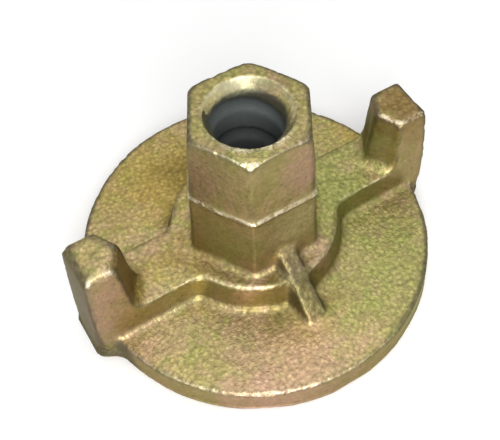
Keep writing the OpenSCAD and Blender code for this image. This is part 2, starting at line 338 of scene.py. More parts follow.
def rounded_loop(corners, radii, per_corner=10, per_side=24):
    """Loop of a polygon with rounded corners. corners is (..., k, 2) and radii (..., k). At each corner an
    arc touches both sides; its middle lies on the corner's bisector, radius / sin(half the corner's angle)
    away."""
    to_last = np.roll(corners, 1, axis=-2) - corners
    to_next = np.roll(corners, -1, axis=-2) - corners
    to_last = to_last / length_of(to_last)
    to_next = to_next / length_of(to_next)
    half = np.arccos(np.clip((to_last * to_next).sum(-1, keepdims=True), -1, 1)) / 2
    radii = radii[..., None]
    bisector = to_last + to_next
    middle = corners + bisector / length_of(bisector) * radii / np.sin(half)
    first = corners + to_last * radii / np.tan(half) - middle
    final = corners + to_next * radii / np.tan(half) - middle
    turn = math.pi - 2 * half
    t = np.linspace(0, 1, per_corner)[:, None]
    middle, first, final, turn = (x[..., None, :] for x in (middle, first, final, turn))
    swept = first * np.sin((1 - t) * turn) + final * np.sin(t * turn)
    arc = middle + swept / np.sin(turn)
    start, end = arc[..., -1, :], np.roll(arc[..., 0, :], -1, axis=-2)
    t = np.linspace(0, 1, per_side + 2)[1:-1, None]
    side = blend(start[..., None, :], end[..., None, :], t)
    loop = np.concatenate([arc, side], -2)
    return loop.reshape(*loop.shape[:-3], -1, 2)


def value_noise(points, size, seed):
    """Smooth random heights from -1 to 1. A random value stands on each corner of a cubic lattice of that
    size, and a point takes its cell's eight values, weighted by 3t^2 - 2t^3 along each side."""
    side = 64
    table = np.random.default_rng(seed).uniform(-1, 1, (side, side, side))
    place = points / size + side / 2
    corner = np.floor(place).astype(int)
    t = place - corner
    t = t * t * (3 - 2 * t)
    total = np.zeros(len(points))
    for dx in (0, 1):
        for dy in (0, 1):
            for dz in (0, 1):
                near = [np.where(d, w, 1 - w) for d, w in zip((dx, dy, dz), t.T)]
                x, y, z = ((corner[:, k] + d) % side for k, d in enumerate((dx, dy, dz)))
                total += table[x, y, z] * near[0] * near[1] * near[2]
    return total


# ---- the shells of the casting ----


def hexagon_reach(angle, across_flats, edge_r):
    """Distance from a hexagon's middle to its outline, one corner on +X. On a flat it is af / 2 / cos(angle
    off the flat's middle); near a corner it is the far crossing of the ray with the rounding's circle."""
    sixth = math.pi / 3
    off_corner = np.abs((angle + sixth / 2) % sixth - sixth / 2)
    flat = across_flats / 2 / np.cos(sixth / 2 - off_corner)
    c = (across_flats / 2 - edge_r) / math.cos(sixth / 2)
    touch = np.arctan2(edge_r * math.sin(sixth / 2), c + edge_r * math.cos(sixth / 2))
    inside = np.maximum(edge_r**2 - (c * np.sin(off_corner)) ** 2, 0)
    arc = c * np.cos(off_corner) + np.sqrt(inside)
    return np.where(off_corner < touch, arc, flat)


def last_turn(s, angle):
    """Height of the groove's middle where it last passes under an angle: its helix z = pitch * turns, taken
    at or above start_z, where it opens to the mouth."""
    turns = (angle - s["thread_turn"]) / (2 * math.pi)
    return s["start_z"] + (turns - s["start_z"] / s["pitch"]) % 1 * s["pitch"]


def bore_reach(s, angle, z):
    """Radius of the bore. A rounded groove follows the helix z = pitch * turns, steep on its upper side and
    easy on its lower one. Its last turn starts bluntly where the groove's middle has climbed to start_z,
    and from there everything above the groove is open up to the mouth, at a root radius that flares. The
    mouth's cone is as wide as its own radius says, and pinched on the side where the groove runs out."""
    turns = (angle - s["thread_turn"]) / (2 * math.pi)
    above_groove = ((z / s["pitch"] - turns + 0.5) % 1 - 0.5) * s["pitch"]
    half = s["groove_w"] / 2

    def lower_flank(height):
        """0 below the groove's lower flank and 1 above it, at a height over the groove's middle."""
        return ease(-half - s["groove_foot"], s["groove_rise"] - half, height)

    into = ease(half, half - s["groove_top"], above_groove) * lower_flank(above_groove)
    into = np.maximum(into, lower_flank(z - last_turn(s, angle)))
    flare = s["lead_flare"] * np.clip((z - s["nut_h"] + s["lead_h"]) / s["lead_h"], 0, 1)
    groove = s["crest_r"] + (s["thread_depth"] + flare) * into
    lean = (s["mouth_r"] - s["mouth_root_r"]) / s["mouth_depth"]
    pinch = s["mouth_pinch"] * np.maximum(np.cos(angle - s["pinch_turn"]), 0) ** 3
    cone = s["mouth_root_r"] + (z - s["nut_h"] + s["mouth_depth"]) * lean - pinch
    return np.maximum(groove, cone)


def upper_shift(s, z):
    """How far the upper boss stands off the bore's axis: most at the parting line, and little at the
    mouth."""
    high = (z - s["step_z"]) / (s["nut_h"] - s["step_z"])
    return np.where(high > 0, blend(s["mould_shift"], s["mouth_shift"], high), 0)


def boss_reach(s, angle, z):
    """Radius of the boss: the lower drafted hexagon up to the parting line, and above it the upper one,
    held inside the mouth's turned bevel, with a ridge of flash where the mould halves met."""
    low = (z - s["pad_z"]) / (s["step_z"] - s["pad_z"])
    high = (z - s["step_z"]) / (s["nut_h"] - s["step_z"])
    lower = hexagon_reach(angle, blend(s["hex_foot"], s["hex_step"], low), s["hex_low_edge"])
    upper = hexagon_reach(angle, blend(s["hex_above"], s["hex_top"], high), s["hex_high_edge"])
    bevel_r = s["mouth_face_r"] + (s["nut_h"] - z) / math.tan(s["bevel_angle"])
    off_shift = angle - s["mould_turn"]
    shift = upper_shift(s, z)
    bevel = np.sqrt(bevel_r**2 - (shift * np.sin(off_shift)) ** 2) - shift * np.cos(off_shift)
    upper = np.minimum(upper, bevel)
    upper = upper - quarter_round(s["hex_rim"], z - (s["nut_h"] - s["hex_rim"]))
    ridge = s["flash"] * np.maximum(1 - np.abs(z - s["step_z"]) / (s["flash_h"] / 2), 0)
    return np.where(z > s["step_z"], upper, lower) + ridge


def turned_body(s):
    """Flange, boss and bore as one ring. Its section runs up the threaded bore, over the mouth, down the
    boss, out over the flange and back along the underside; the section is carried round the axis, and its
    radii change with the angle."""
    n_angle = 720
    rim_depth = 1.5
    wall_step = 0.2
    angle = np.linspace(0, 2 * math.pi, n_angle, endpoint=False)[:, None]
    up = np.linspace(0, s["nut_h"], 260)[None, :]
    bore_r = bore_reach(s, angle, up)
    rim_z = s["nut_h"] - np.linspace(0, rim_depth, 16)
    wall_z = np.arange(s["nut_h"] - rim_depth - wall_step, s["flange_t"], -wall_step)
    wall_z = np.concatenate([rim_z, wall_z])[None, :]
    wall_r = boss_reach(s, angle, wall_z)
    flange_r = s["flange_r"]
    edge = s["flange_edge"]
    bevel = s["flange_bevel"]
    t = np.linspace(0, 1, 60)[None, :]
    quarter = np.linspace(0, math.pi / 2, 9)[None, :]
    ones = np.ones_like(angle)
    top_r = blend(bore_r[:, -1:], wall_r[:, :1], t[:, 1:-1])
    deck_r = blend(wall_r[:, -1:], ones * (flange_r - edge), t)
    arc_r = ones * (flange_r - edge + edge * np.sin(quarter))
    arc_z = s["flange_t"] - edge + edge * np.cos(quarter)
    rim_down = np.linspace(s["flange_t"] - edge, bevel, 24)[None, 1:]
    rim_r = ones * np.full_like(rim_down, flange_r)
    under_r = blend(ones * (flange_r - bevel), bore_r[:, :1], t[:, :-1])
    radius = np.concatenate([bore_r, top_r, wall_r, deck_r, arc_r, rim_r, under_r], 1)
    levels = ((top_r, s["nut_h"]), (deck_r, s["flange_t"]), (under_r, 0))
    top_z, deck_z, under_z = (np.full((1, radii.shape[1]), z) for radii, z in levels)
    height = np.concatenate([up, top_z, wall_z, deck_z, arc_z, rim_down, under_z], 1)
    height = np.broadcast_to(height, radius.shape)
    outer = np.arange(radius.shape[1]) >= bore_r.shape[1] + top_r.shape[1]
    shift = outer[None, :] * upper_shift(s, height)
    x = radius * np.cos(angle) + math.cos(s["mould_turn"]) * shift
    y = radius * np.sin(angle) + math.sin(s["mould_turn"]) * shift
    return shell_of_rings(np.stack([x, y, height], -1), joined=True)


def arm_half(s, direction):
    """Half the width of the arm that points along X in that direction, whose sign alone counts."""
    return np.where(direction > 0, s["arm_half"], s["wide_arm_half"])


def pad_reach(s, angle, out):
    """Distance from the axis to the pad's outline, moved outwards by out: the arm's side line, then the
    near side of the hollow corner's circle, then the round middle, folded into all four quarters."""
    half = arm_half(s, np.cos(angle)) + out * np.where(out > 0, s["arm_draft"] / s["pad_draft"], 1)
    middle = s["pad_r"] + out
    hollow = s["pad_hollow"] + s["pad_draft"] - out
    away = middle + hollow
    centre_y = half + hollow
    centre_x = np.sqrt(away**2 - centre_y**2)
    folded = np.abs((angle + math.pi / 2) % math.pi - math.pi / 2)
    arm_end = s["lug_shoulder"] + 1
    along = np.cos(np.minimum(folded, 1.5))
    side = np.minimum(half / np.maximum(np.sin(folded), 1e-6), arm_end / along)
    to_centre = np.arctan2(centre_y, centre_x)
    off = to_centre - folded
    dip = away * np.cos(off) - np.sqrt(np.maximum(hollow**2 - (away * np.sin(off)) ** 2, 0))
    reach = np.where(folded < np.arctan2(half, centre_x), side, dip)
    return np.where(folded > to_centre, middle, reach)


def pad(s):
    """The raised pad as a ring about the boss: its wall leans by the draft and its top edge is a quarter
    round; the top closes onto a circle inside the boss, and the ring's inner and lower sides are buried."""
    n_angle = 2400
    angle = np.linspace(0, 2 * math.pi, n_angle, endpoint=False)[:, None]
    buried = s["flange_t"] - s["overlap"]
    wall_z = np.linspace(s["flange_t"], s["pad_z"] - s["pad_edge"], 14)
    quarter = np.linspace(0, math.pi / 2, 8)[1:]
    edge_z = s["pad_z"] - s["pad_edge"] + s["pad_edge"] * np.sin(quarter)
    wall_out = s["pad_draft"] * (s["pad_z"] - wall_z) / s["pad_h"]
    edge_out = s["pad_edge"] * (np.cos(quarter) - 1)
    out = np.concatenate([[s["pad_draft"]], wall_out, edge_out])[None, :]
    height = np.concatenate([[buried], wall_z, edge_z])[None, :]
    outer = pad_reach(s, angle, out)
    inner_r = s["crest_r"] + s["thread_depth"] + s["overlap"]
    inward = np.linspace(0, 1, 20)[1:][None, :]
    top = blend(outer[:, -1:], inner_r, inward)
    closing = np.full((n_angle, 1), inner_r)
    radius = np.concatenate([outer, top, closing], 1)
    height = np.concatenate([height, np.full(inward.shape, s["pad_z"]), [[buried]]], 1)
    height = np.broadcast_to(height, radius.shape)
    rings = np.stack([radius * np.cos(angle), radius * np.sin(angle), height], -1)
    return shell_of_rings(rings[:, ::-1], joined=True)


def wing_lug(s, side):
    """A V-sided lug. Its plan is a pentagon with rounded corners, whose corners run along straight lines
    from foot to top, and which falls back by a quarter round over the crown. side is 1 at +X and -1 at
    -X."""
    crown = s["lug_crown"] if side > 0 else s["worn_crown"]
    outer_crown = s["lug_outer_crown"] if side > 0 else s["worn_outer_crown"]
    lean = 0 if side > 0 else s["lug_lean"]
    fine = 1.5 * crown
    depth = np.concatenate([np.linspace(fine, 0.06, 14), [0.0]])
    z = np.concatenate([np.linspace(0, s["lug_h"] - fine, 66)[:-1], s["lug_h"] - depth])
    t = z / s["lug_h"]
    inset = quarter_round(crown, z - (s["lug_h"] - crown))
    reach = blend(s["half_length"], s["lug_top_reach"], t)
    reach = reach - quarter_round(outer_crown, z - (s["lug_h"] - outer_crown))
    above_pad = np.clip((z - s["pad_z"]) / (s["lug_h"] - s["pad_z"]), 0, 1)
    below_pad = np.clip((s["pad_z"] - z) / s["pad_h"], 0, 1)
    half = blend(arm_half(s, side), s["lug_top_half"], above_pad) + s["arm_draft"] * below_pad - inset
    flare = quarter_round(s["lug_fillet"], s["lug_fillet"] - (z - s["pad_z"])) - inset
    ridge = blend(s["lug_ridge_foot"], s["lug_ridge_top"], above_pad) - flare - lean
    shoulder = blend(s["lug_shoulder"] - 2 * lean, s["lug_shoulder_top"], above_pad) - flare
    zero = np.zeros_like(z)
    corners = np.stack(
        [
            np.stack([reach, -half], -1),
            np.stack([reach, half], -1),
            np.stack([shoulder + zero, half], -1),
            np.stack([ridge, zero], -1),
            np.stack([shoulder + zero, -half], -1),
        ],
        1,
    )
    foot_edge = blend(s["lug_foot_edge"], s["lug_edge"], ease(0, s["lug_foot_h"], z))
    edge = np.full_like(z, s["lug_edge"])
    ridge_edge = np.full_like(z, s["lug_ridge_edge"])
    loops = rounded_loop(corners, np.stack([foot_edge, foot_edge, edge, ridge_edge, edge], -1))
    rings = np.concatenate([loops, np.broadcast_to(z[:, None, None], (*loops.shape[:2], 1))], -1)
    rings = rings * np.array([side, side, 1])
    return shell_of_rings(rings)


def gusset_rib(s, side):
    """A gusset rib. Its section is a trapezoid with rounded upper corners; carried outwards from the boss,
    the section's top falls along a straight line to its blunt end and widens, and its middle drifts
    sideways. side is 1 or -1."""
    inner = s["hex_foot"] / 2 - s["overlap"]
    outer = s["rib_reach"]
    y = np.linspace(inner, outer, 60)
    end_z = s["flange_t"] + s["rib_end_h"]
    out = (y - s["hex_foot"] / 2) / (outer - s["hex_foot"] / 2)
    top = blend(s["rib_z"], end_z, out)
    low = np.full_like(y, s["flange_t"] - s["overlap"])
    on_axis = 0.4
    middle = s["rib_drift"] * (on_axis - out)
    lean = s["rib_foot_out"] / (s["rib_z"] - s["flange_t"])
    half_top = blend(s["rib_top_half"], s["rib_end_half"], out)
    half_low = half_top + lean * (top - low)
    corners = np.stack(
        [
            np.stack([middle - half_low, low], -1),
            np.stack([middle + half_low, low], -1),
            np.stack([middle + half_top, top], -1),
            np.stack([middle - half_top, top], -1),
        ],
        1,
    )
    buried_edge = 0.1
    radii = np.array([buried_edge, buried_edge, s["rib_edge"], s["rib_edge"]])
    radii = np.broadcast_to(radii, corners.shape[:2])
    loops = rounded_loop(corners, radii, per_corner=6, per_side=12)
    across = loops[..., 0] * side
    along_y = np.broadcast_to(y[:, None], across.shape) * side
    rings = np.stack([across, along_y, loops[..., 1]], -1)
    return shell_of_rings(rings[:, ::-1])


# ---- from shells to one skin ----


def stretch(points, back=False):
    """Widens the plan where the skin wants finer cells and narrows it where coarse ones do: x and y are
    scaled by one share at the underside, by 1 from the flange's middle to the boss's, and by another share
    at the mouth. back undoes it."""
    underside_scale = 0.45
    mouth_scale = 1.35
    z = points[:, 2]
    scale = blend(underside_scale, 1, ease(0.5, 7, z)) + (mouth_scale - 1) * ease(34, 46, z)
    factor = 1 / scale if back else scale
    return points * np.stack([factor, factor, np.ones_like(z)], -1)


def new_mesh(name, points, faces):
    """Mesh data from an array of points and one of faces that all have the same number of corners."""
    mesh = bpy.data.meshes.new(name)
    mesh.vertices.add(len(points))
    mesh.vertices.foreach_set("co", np.asarray(points, np.float32).ravel())
    mesh.loops.add(faces.size)
    mesh.loops.foreach_set("vertex_index", faces.astype(np.int32).ravel())
    mesh.polygons.add(len(faces))
    mesh.polygons.foreach_set("loop_start", np.arange(0, faces.size, faces.shape[1], dtype=np.int32))
    mesh.update(calc_edges=True)
    return mesh


def fuse(shells, cell):
    """One closed skin of four-sided faces round all the shells: they are laid over each other, and a voxel
    remesh keeps what lies outermost."""
    starts = np.cumsum([0] + [len(points) for points, _ in shells])
    points = np.concatenate([points for points, _ in shells])
    faces = np.concatenate([faces + start for (_, faces), start in zip(shells, starts)])
    rough = bpy.data.objects.new("shells", new_mesh("shells", stretch(points), faces))
    bpy.context.scene.collection.objects.link(rough)
    remesh = rough.modifiers.new("fuse", "REMESH")
    remesh.mode = "VOXEL"
    remesh.voxel_size = cell
    evaluated = rough.evaluated_get(bpy.context.evaluated_depsgraph_get())
    fused = evaluated.to_mesh()
    co = np.empty(len(fused.vertices) * 3, np.float32)
    fused.vertices.foreach_get("co", co)
    corner = np.empty(len(fused.loops), np.int32)
    fused.loops.foreach_get("vertex_index", corner)
    if len(corner) != 4 * len(fused.polygons):
        raise RuntimeError("the fused skin has faces that aren't four-sided")
    evaluated.to_mesh_clear()
    bpy.data.objects.remove(rough)
    return stretch(co.reshape(-1, 3).astype(float), back=True), corner.reshape(-1, 4)


class Skin:
    """Points and four-sided faces, with what its smoothing needs: each point's neighbours and its
    normal."""

    def __init__(self, points, faces):
        self.points = points
        self.faces = faces
        sides = np.concatenate([faces[:, [k, (k + 1) % 4]] for k in range(4)])
        self.sides = np.concatenate([sides, sides[:, ::-1]])
        self.count = np.bincount(self.sides[:, 0], minlength=len(points))

    def mean_of_neighbours(self, values):
        """Each point's mean of its neighbours' values, which may be numbers or vectors."""
        columns = values.reshape(len(self.points), -1)
        here, there = self.sides.T
        sums = [np.bincount(here, column[there], len(self.points)) / self.count for column in columns.T]
        return np.stack(sums, -1).reshape(values.shape)

    def normals(self):
        """Unit normals of the points: the sum of the crossed diagonals of the faces that meet there."""
        a, b, c, d = (self.points[self.faces[:, k]] for k in range(4))
        crossed = np.cross(c - a, d - b)
        total = np.zeros_like(self.points)
        for k in range(4):
            for axis in range(3):
                total[:, axis] += np.bincount(self.faces[:, k], crossed[:, axis], len(self.points))
        return total / np.maximum(length_of(total), 1e-12)

    def relax_corners(self, rounds):
        """Moves each point half way to the mean of its neighbours where that mean lies outside the skin, as
        it does in an inner corner. Edges stay as they are."""
        for _ in range(rounds):
            pull = self.mean_of_neighbours(self.points) - self.points
            outwards = (pull * self.normals()).sum(-1, keepdims=True)
            self.points = self.points + pull * np.where(outwards > 0, 0.5, 0.0)

    def bend(self):
        """How sharply the skin bends at each point, per millimetre: above 0 on edges, below 0 in corners.
        It is the neighbours' mean, measured inwards along the normal, over a quarter of their squared
        distance."""
        pull = self.mean_of_neighbours(self.points) - self.points
        here, there = self.sides.T
        apart = ((self.points[there] - self.points[here]) ** 2).sum(-1)
        spread = np.bincount(here, apart, len(self.points)) / self.count
        return -4 * (pull * self.normals()).sum(-1) / spread

    def spread_out(self, values, rounds):
        """The values after that many rounds of meeting their neighbours' mean half way."""
        for _ in range(rounds):
            values = (values + self.mean_of_neighbours(values)) / 2
        return values


def lamp_facing_share(normals):
    """1 where the skin faces the key lamp, whose highlight is painted on it, and 0 away from there."""
    return ease(0.82, 0.96, normals @ np.array(GLINT_LAMP_FROM))


def press_grain(skin, edge, s):
    """Presses the sand's grain into the skin, always inwards: coarse and fine lattice noise, deep on faces
    that looked up into the sand and shallow on drafted walls, a broad sag, and nicks along the edges. The
    machined bore and mouth stay smooth."""
    normals = skin.normals()
    upward = ease(0.2, 0.75, normals[:, 2])
    coarse = value_noise(skin.points, s["grain_size"] * 1.9, seed=11)
    fine = value_noise(skin.points, s["grain_size"], seed=12)
    broad = value_noise(skin.points, s["sag_size"], seed=13)
    chips = value_noise(skin.points, s["nick_size"], seed=14)
    grain = (0.5 + 0.25 * coarse + 0.25 * fine) * s["grain_depth"] * blend(s["wall_grain"], 1, upward)
    sag = (0.5 + 0.5 * broad) * s["sag_depth"]
    nick = ease(0.1, 0.75, chips) * s["nick_depth"] * edge
    rough = 1 - np.maximum(bare_share(s, skin.points), 0.8 * turned_share(s, skin.points))
    skin.points = skin.points - normals * ((grain + sag + nick) * rough)[:, None]
    return upward


def around_bore(s, points):
    """Each point's distance from the bore's axis, angle about it and depth below the mouth."""
    x, y, z = points.T
    return np.hypot(x, y), np.arctan2(y, x), s["nut_h"] - z


def turned_share(s, points):
    """1 on the coned mouth and 0 elsewhere: above the cone's foot and inside the cone's upper edge. It is
    less on the pinched side, which keeps more grain there and dulls the mouth's painted highlight."""
    radius, angle, down = around_bore(s, points)
    dull = 0.6 * ease(0.2, 0.95, np.cos(angle - s["pinch_turn"]))
    inside = ease(0.4, -0.4, radius - s["mouth_r"])
    above_foot = ease(0.3, -0.3, down - s["mouth_depth"])
    return inside * above_foot * (1 - dull)


def lit_side_share(directions):
    """1 for places or normals on the side of the bore's axis that faces the camera and lamps, 0 for those
    beside and beyond it.
    """
    plan = directions[:, :2]
    plan = plan / np.maximum(length_of(plan), 1e-9)
    return ease(0.35, 0.75, plan @ np.array(LIT_SIDE))


def rib_share(s, points):
    """1 on the gusset ribs, which get little painted highlight and some painted shade, and 0 elsewhere."""
    x, y, z = points.T
    beside = ease(2, 1, np.abs(x) - s["rib_end_half"])
    beyond_boss = ease(0, 1, np.abs(y) - s["hex_foot"] / 2)
    return beside * beyond_boss * (z > s["flange_t"] + 0.5)


def crown_share(s, points):
    """1 on the lugs' crowns and 0 below them."""
    x, _, z = points.T
    on_lug = (np.abs(x) > s["lug_ridge_foot"] - 1) & (z < s["lug_h"] + 1)
    return on_lug * ease(1, 0, s["lug_h"] - z - s["worn_crown"])


def end_face_share(s, skin):
    """1 on the lugs' outer faces, which turn away from the bore along X, and 0 elsewhere."""
    x = skin.points[:, 0]
    turned_away = ease(0.25, 0.6, skin.normals()[:, 0] * np.sign(x))
    return turned_away * ease(4, 5, np.abs(x) - s["lug_shoulder"])


def bevel_share(s, points):
    """1 on the turned bevel round the mouth and 0 elsewhere: outside the flat ring, near the bevel's own
    cone and not far down."""
    radius, _, down = around_bore(s, points)
    outside = radius - s["mouth_face_r"]
    off_bevel = outside - down / math.tan(s["bevel_angle"])
    return ease(-0.9, -0.3, off_bevel) * ease(0, 0.35, outside) * ease(3.0, 2.4, down)


def mouth_edge_share(s, points):
    """1 along the edge between the mouth's cone and the flat ring, and 0 elsewhere."""
    radius, _, down = around_bore(s, points)
    return ease(1.6, 0.8, np.hypot(radius - s["mouth_r"], down))


def bare_share(s, points):
    """1 in the threaded bore and 0 elsewhere. Its upper end is the upper edge of the groove's last full
    turn, and nowhere lower than bare_z; from there up to the cone it is a half."""
    radius, angle, down = around_bore(s, points)
    wall = s["crest_r"] + s["thread_depth"] + 0.9
    turn = last_turn(s, angle) - s["pitch"]
    edge_z = np.maximum(turn + s["groove_w"] / 2, s["bare_z"])
    below = ease(0.3, -0.3, points[:, 2] - edge_z)
    half_bare = 0.5 * ease(0.6, -0.2, s["mouth_depth"] - down)
    return ease(0.2, -0.2, radius - wall) * np.maximum(below, half_bare)


def flash_share(s, points):
    """1 along the ridge of flash round the boss, a little above the parting line, fading to 0 over the
    ridge's height either way."""
    above = 0.2
    radius, _, _ = around_bore(s, points)
    off = np.abs(points[:, 2] - s["step_z"] - above) / s["flash_h"]
    off_boss = radius - s["hex_step"] / 2
    return ease(0.75, 0.35, off) * ease(-1.5, -0.5, off_boss) * ease(5.4, 4.4, off_boss)


def wear(s, skin):
    """How sharp the skin's edges are, and a dictionary of values from 0 to 1: the first marks rubbed bright
    edges together with a painted highlight on the edges that face the lamps, the second painted shade on
    the other edges, and the third painted shade in the inner corners."""
    bend = skin.spread_out(skin.bend(), 2)
    edge = ease(0.3, 1.2, bend)
    round_edge = ease(0.12, 0.6, skin.spread_out(bend, 4))
    normals = skin.normals()
    lamp_facing = lamp_facing_share(normals)
    flash = flash_share(s, skin.points)
    bevel = bevel_share(s, skin.points)
    mouth_edge = mouth_edge_share(s, skin.points)
    rib = rib_share(s, skin.points)
    crown = round_edge * crown_share(s, skin.points)

    # Rubbed edges and crowns, little on the ribs and none on the mouth's edge, kept where they face the key
    # lamp: partly wear, partly a painted highlight.
    rubbed_and_glint = np.maximum(0.7 * edge * (1 - mouth_edge) * (1 - 0.9 * rib), crown)
    wear_and_glint = np.maximum(rubbed_and_glint, 0.8 * bevel) * lamp_facing
    # A painted highlight along the mouth's edge on the side that faces the lamps.
    wear_and_glint = np.maximum(wear_and_glint, 0.6 * mouth_edge * lit_side_share(skin.points))
    wear_and_glint = np.maximum(wear_and_glint, 0.75 * flash)

    # Painted shade on the rounded edges and the bevel where they face away from the key lamp, less on the
    # lit side and by the pad's top edge; also on the ribs and the lugs' outer faces.
    painted_shade = np.maximum(round_edge * (1 - mouth_edge), bevel) * (1 - lamp_facing) * (1 - flash)
    painted_shade *= 1 - 0.3 * lit_side_share(normals)
    painted_shade *= 1 - 0.65 * ease(1.5, 1.0, np.abs(skin.points[:, 2] - s["pad_z"]))
    painted_shade = np.maximum(np.maximum(painted_shade, 0.45 * rib), end_face_share(s, skin))
    # Inner corners get painted shade.
    return edge, {"wear_and_glint": wear_and_glint, "painted_shade": painted_shade, "hollow": ease(-0.25, -1.0, bend)}


# ---- operators ----


class WINGNUT_OT_casting(bpy.types.Operator):
    """Cast the wing nut: one skin with flange, pad, boss, lugs, ribs and thread"""

    bl_idname = "wingnut.casting"
    bl_label = "Cast the wing nut"

    def execute(self, context):
        s = millimetres(context.scene.wing_nut_sizes)
        size = (CAD_HIGH - CAD_LOW) / MM
        s["half_length"] = size.x / 2
        s["flange_r"] = size.y / 2
        s["nut_h"] = size.z
        s["pad_z"] = s["flange_t"] + s["pad_h"]
        shells = [turned_body(s), pad(s)]
        for side in (1, -1):
            shells += [wing_lug(s, side), gusset_rib(s, side)]
        skin = Skin(*fuse(shells, s["cell"]))
        skin.relax_corners(int(s["crease_rounds"]))
        edge, values = wear(s, skin)
        values["upward"] = press_grain(skin, edge, s)
        skin.points = np.clip(skin.points, np.array(CAD_LOW) / MM, np.array(CAD_HIGH) / MM)
        values["bare"] = bare_share(s, skin.points)
        values["turned"] = turned_share(s, skin.points)
        mesh = new_mesh("casting", skin.points * MM, skin.faces)
        for name, value in values.items():
            mesh.attributes.new(name, "FLOAT", "POINT").data.foreach_set("value", value.astype(np.float32))
        mesh.shade_smooth()
        mesh.materials.append(plated_iron(context.scene.wing_nut_finish))
        casting = bpy.data.objects.new("casting", mesh)
        context.scene.collection.objects.link(casting)
        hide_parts(NODE)
        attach(casting, BODY)
        print("casting:", len(mesh.vertices), "points,", 2 * len(mesh.polygons), "triangles")
        return {"FINISHED"}


# ---- shading ----


class Wire:
    """A socket's value that takes part in Python sums. Each operator adds the Math node that works it
    out."""

    def __init__(self, shader, socket):
        self.shader = shader
        self.socket = socket

    def __add__(self, other):
        return self.shader.maths("ADD", self, other)

    def __sub__(self, other):
        return self.shader.maths("SUBTRACT", self, other)

    def __rsub__(self, other):
        return self.shader.maths("SUBTRACT", other, self)

    def __mul__(self, other):
        return self.shader.maths("MULTIPLY", self, other)

    __radd__ = __add__
    __rmul__ = __mul__


class Shader:
    """Node tree of a material or a world, written as expressions on wires."""

    def __init__(self, owner):
        owner.use_nodes = True
        self.tree = owner.node_tree
        self.tree.nodes.clear()

    def node(self, kind, settings=None, inputs=None, output=0):
        """Adds a node of that type, sets it up, gives its sockets their values or links and returns one
        output."""
        made = self.tree.nodes.new(kind)
        for name, value in (settings or {}).items():
            setattr(made, name, value)
        for name, value in (inputs or {}).items():
            if isinstance(value, Wire):
                self.tree.links.new(value.socket, made.inputs[name])
            else:
                made.inputs[name].default_value = value
        return None if output is None else Wire(self, made.outputs[output])

    def finish(self, kind, surface):
        """Links the surface to an output node of that type."""
        self.node(kind, inputs={"Surface": surface}, output=None)

    def maths(self, operation, first, second=0.0, clamp=False):
        """One Math node."""
        settings = {"operation": operation, "use_clamp": clamp}
        return self.node("ShaderNodeMath", settings, {0: first, 1: second})

    def ease(self, value, low, high):
        """The value as a smooth S from 0 at low to 1 at high, which may lie either way round."""
        return self.node(
            "ShaderNodeMapRange",
            {"interpolation_type": "SMOOTHSTEP"},
            {"Value": value, "From Min": low, "From Max": high},
        )

    def mix(self, amount, start, end):
        """Colour between two others."""
        return self.node(
            "ShaderNodeMix", {"data_type": "RGBA"}, {0: amount, 6: start, 7: end}, output=2
        )

    def noise(self, place, size, detail=2.0, roughness=0.5, output=0):
        """Noise whose features are about that many millimetres across."""
        return self.node(
            "ShaderNodeTexNoise",
            {"noise_dimensions": "3D"},
            {"Vector": place, "Scale": 1 / size, "Detail": detail, "Roughness": roughness},
            output,
        )

    def grains(self, place, size):
        """About 1 at the middle of each round grain of that many millimetres, falling towards 0 between
        them."""
        inputs = {"Vector": place, "Scale": 1 / size}
        return 1 - self.node("ShaderNodeTexVoronoi", {"feature": "F1"}, inputs, output="Distance")

    def patches(self, offset, size, low, high):
        """Soft-edged patches of about that size, cut from the noise that the offset leads to."""
        return self.ease(self.noise(self.place(offset), size, 2.0, 0.6), low, high)

    def stirred(self, size, reach):
        """The object's own coordinates in millimetres, each moved by noise of that size, up to half the
        reach."""
        push = self.noise(self.place(), size, 3.0, 0.6, output="Color")
        start = self.place((-reach / 2, -reach / 2, -reach / 2))
        inputs = {0: push, 1: (reach, reach, reach), 2: start}
        return self.node("ShaderNodeVectorMath", {"operation": "MULTIPLY_ADD"}, inputs)

    def bloom(self, place, middle, reach):
        """1 at a bloom's middle, falling smoothly to 0 at its reach."""
        inputs = {0: place, 1: middle}
        away = self.node("ShaderNodeVectorMath", {"operation": "DISTANCE"}, inputs, output="Value")
        return self.ease(away, reach, 0.0)

    def attribute(self, name):
        """A value that the mesh carries at its points."""
        return self.node("ShaderNodeAttribute", {"attribute_name": name}, output="Fac")

    def light_path(self, name):
        """1 where the ray is of the named sort, else 0."""
        return self.node("ShaderNodeLightPath", output=name)

    def place(self, offset=(0.0, 0.0, 0.0), squash=(1.0, 1.0, 1.0)):
        """The object's own coordinates in millimetres, squashed along each axis and moved by an offset."""
        own = self.node("ShaderNodeTexCoord", output="Object")
        scale = tuple(part / MM for part in squash)
        return self.node("ShaderNodeMapping", inputs={"Vector": own, "Location": offset, "Scale": scale})


def solid(rgb):
    """A colour property as the four numbers that a colour socket takes."""
    return (*rgb, 1.0)


